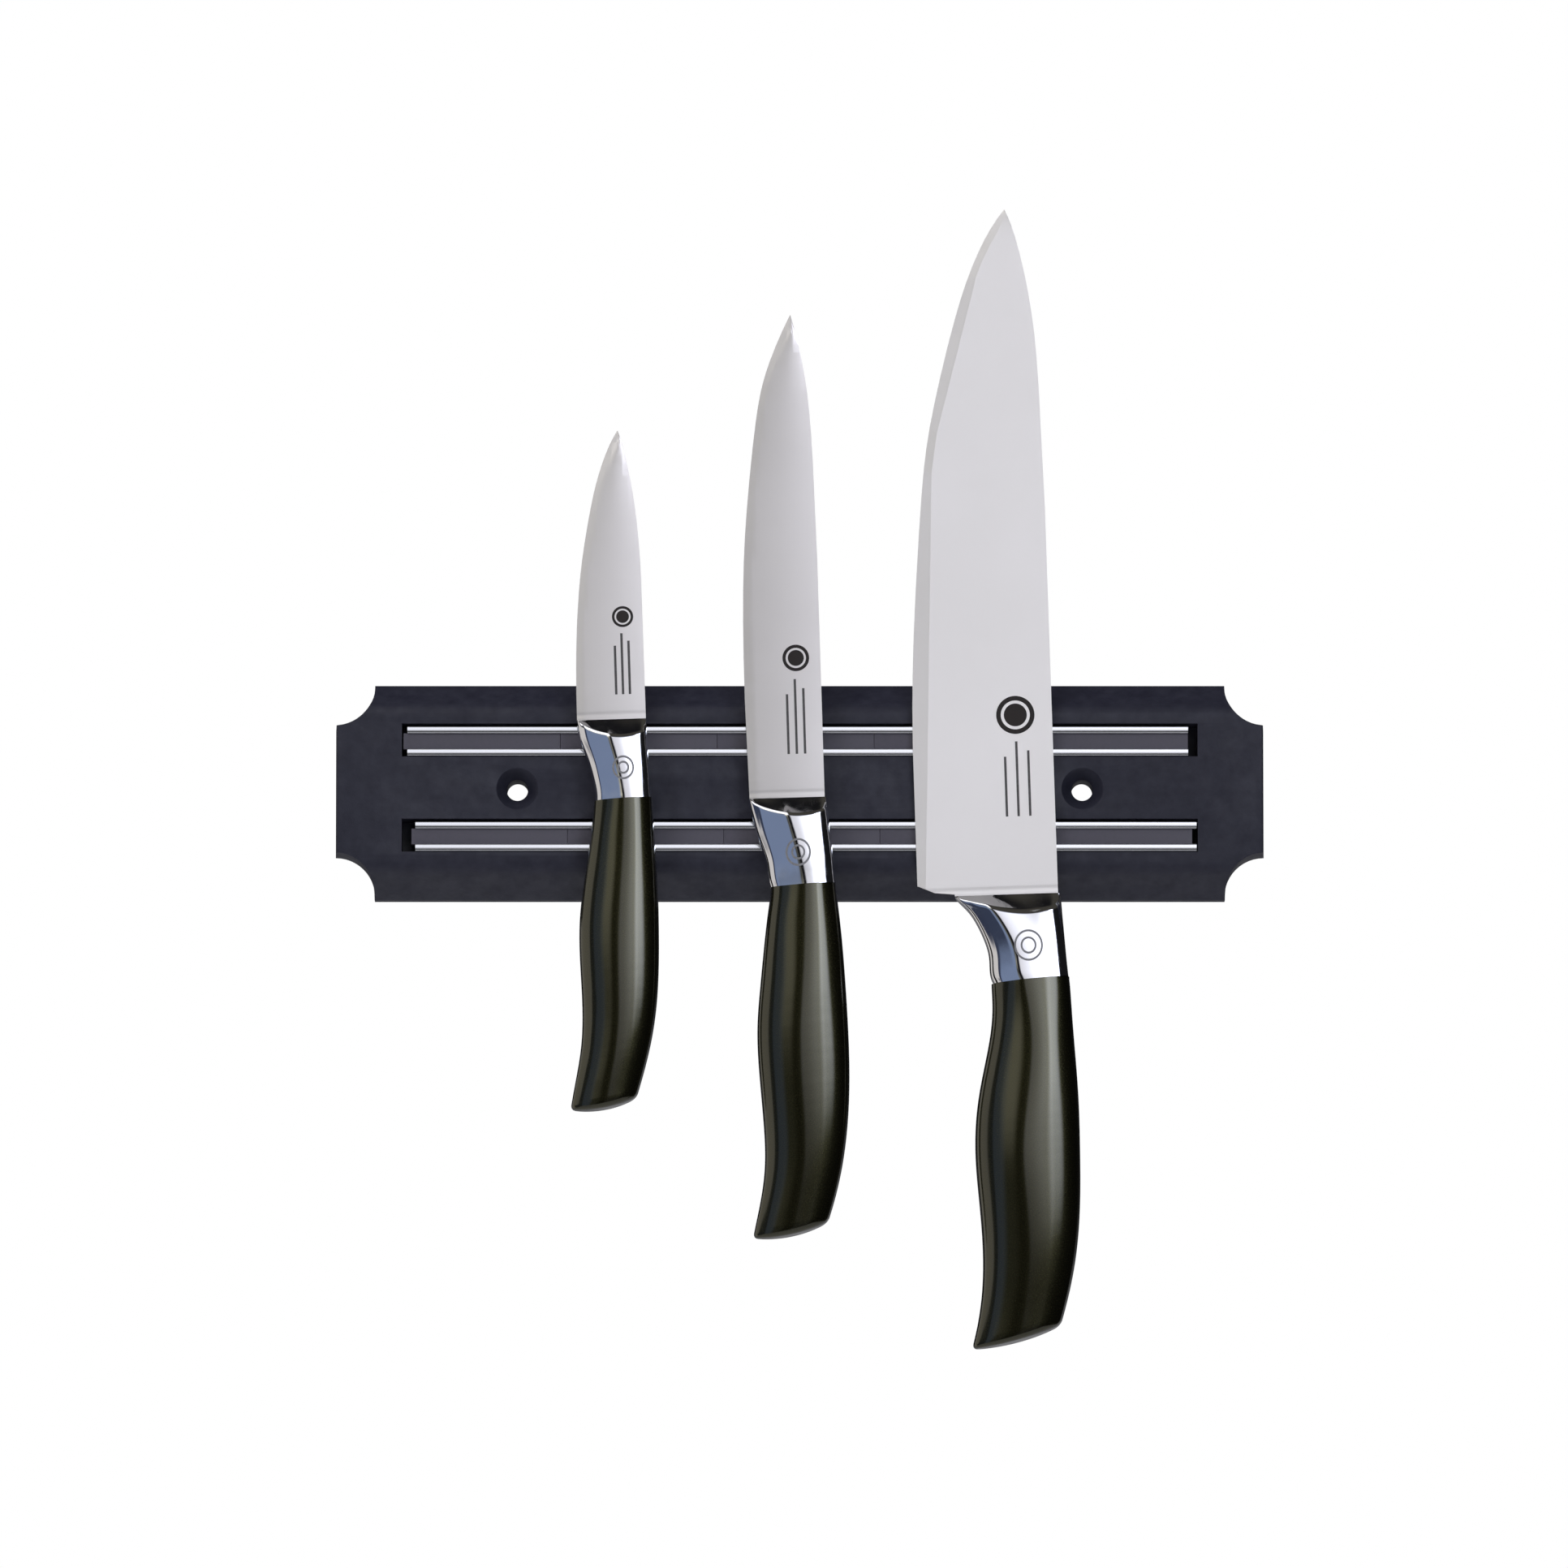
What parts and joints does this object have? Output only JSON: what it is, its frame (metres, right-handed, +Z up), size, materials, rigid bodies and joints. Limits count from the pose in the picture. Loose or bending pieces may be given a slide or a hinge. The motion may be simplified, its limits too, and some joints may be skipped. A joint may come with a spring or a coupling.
{
  "type": "knife magnetic rack",
  "caption": "Dark moulded wall bar with two steel-faced magnet strips and countersunk screw holes, holding removable kitchen knives.",
  "frame": {"origin": "midway between the two wall screw holes, on the plane of the rack's back rim", "axes": "+X along the rack to the right as seen by a person facing it, +Y into the wall, +Z up"},
  "size_m": [0.2716, 0.0299, 0.3355],
  "materials": {
    "rack_plastic": "fine satin moulded texture",
    "pole_steel": "ground and plated",
    "ferrite": "matte sintered ferrite",
    "adhesive": "black foam tape",
    "blade_steel": "fine satin grind",
    "bolster_steel": "mirror polish",
    "grip_coat": "dark olive-grey metallic lacquer, gloss"
  },
  "bodies": {
    "rack": {"rack_body": "rack_plastic", "upper_top_pole": "pole_steel", "upper_bottom_pole": "pole_steel", "upper_magnet_1": "ferrite", "upper_magnet_2": "ferrite", "upper_magnet_3": "ferrite", "upper_magnet_4": "ferrite", "upper_magnet_5": "ferrite", "upper_adhesive": "adhesive", "lower_top_pole": "pole_steel", "lower_bottom_pole": "pole_steel", "lower_magnet_1": "ferrite", "lower_magnet_2": "ferrite", "lower_magnet_3": "ferrite", "lower_magnet_4": "ferrite", "lower_magnet_5": "ferrite", "lower_adhesive": "adhesive"},
    "chef_knife": {"chef_blade": "blade_steel", "chef_bolster": "bolster_steel", "chef_grip": "grip_coat"},
    "utility_knife": {"utility_blade": "blade_steel", "utility_bolster": "bolster_steel", "utility_grip": "grip_coat"},
    "paring_knife": {"paring_blade": "blade_steel", "paring_bolster": "bolster_steel", "paring_grip": "grip_coat"}
  },
  "joints": [
    {"name": "chef_pull_off", "type": "slide", "parent": "rack", "child": "chef_knife", "axis": [0, -1, 0], "range_m": [0, 0.08]},
    {"name": "utility_pull_off", "type": "slide", "parent": "rack", "child": "utility_knife", "axis": [0, -1, 0], "range_m": [0, 0.08]},
    {"name": "paring_pull_off", "type": "slide", "parent": "rack", "child": "paring_knife", "axis": [0, -1, 0], "range_m": [0, 0.08]}
  ]
}
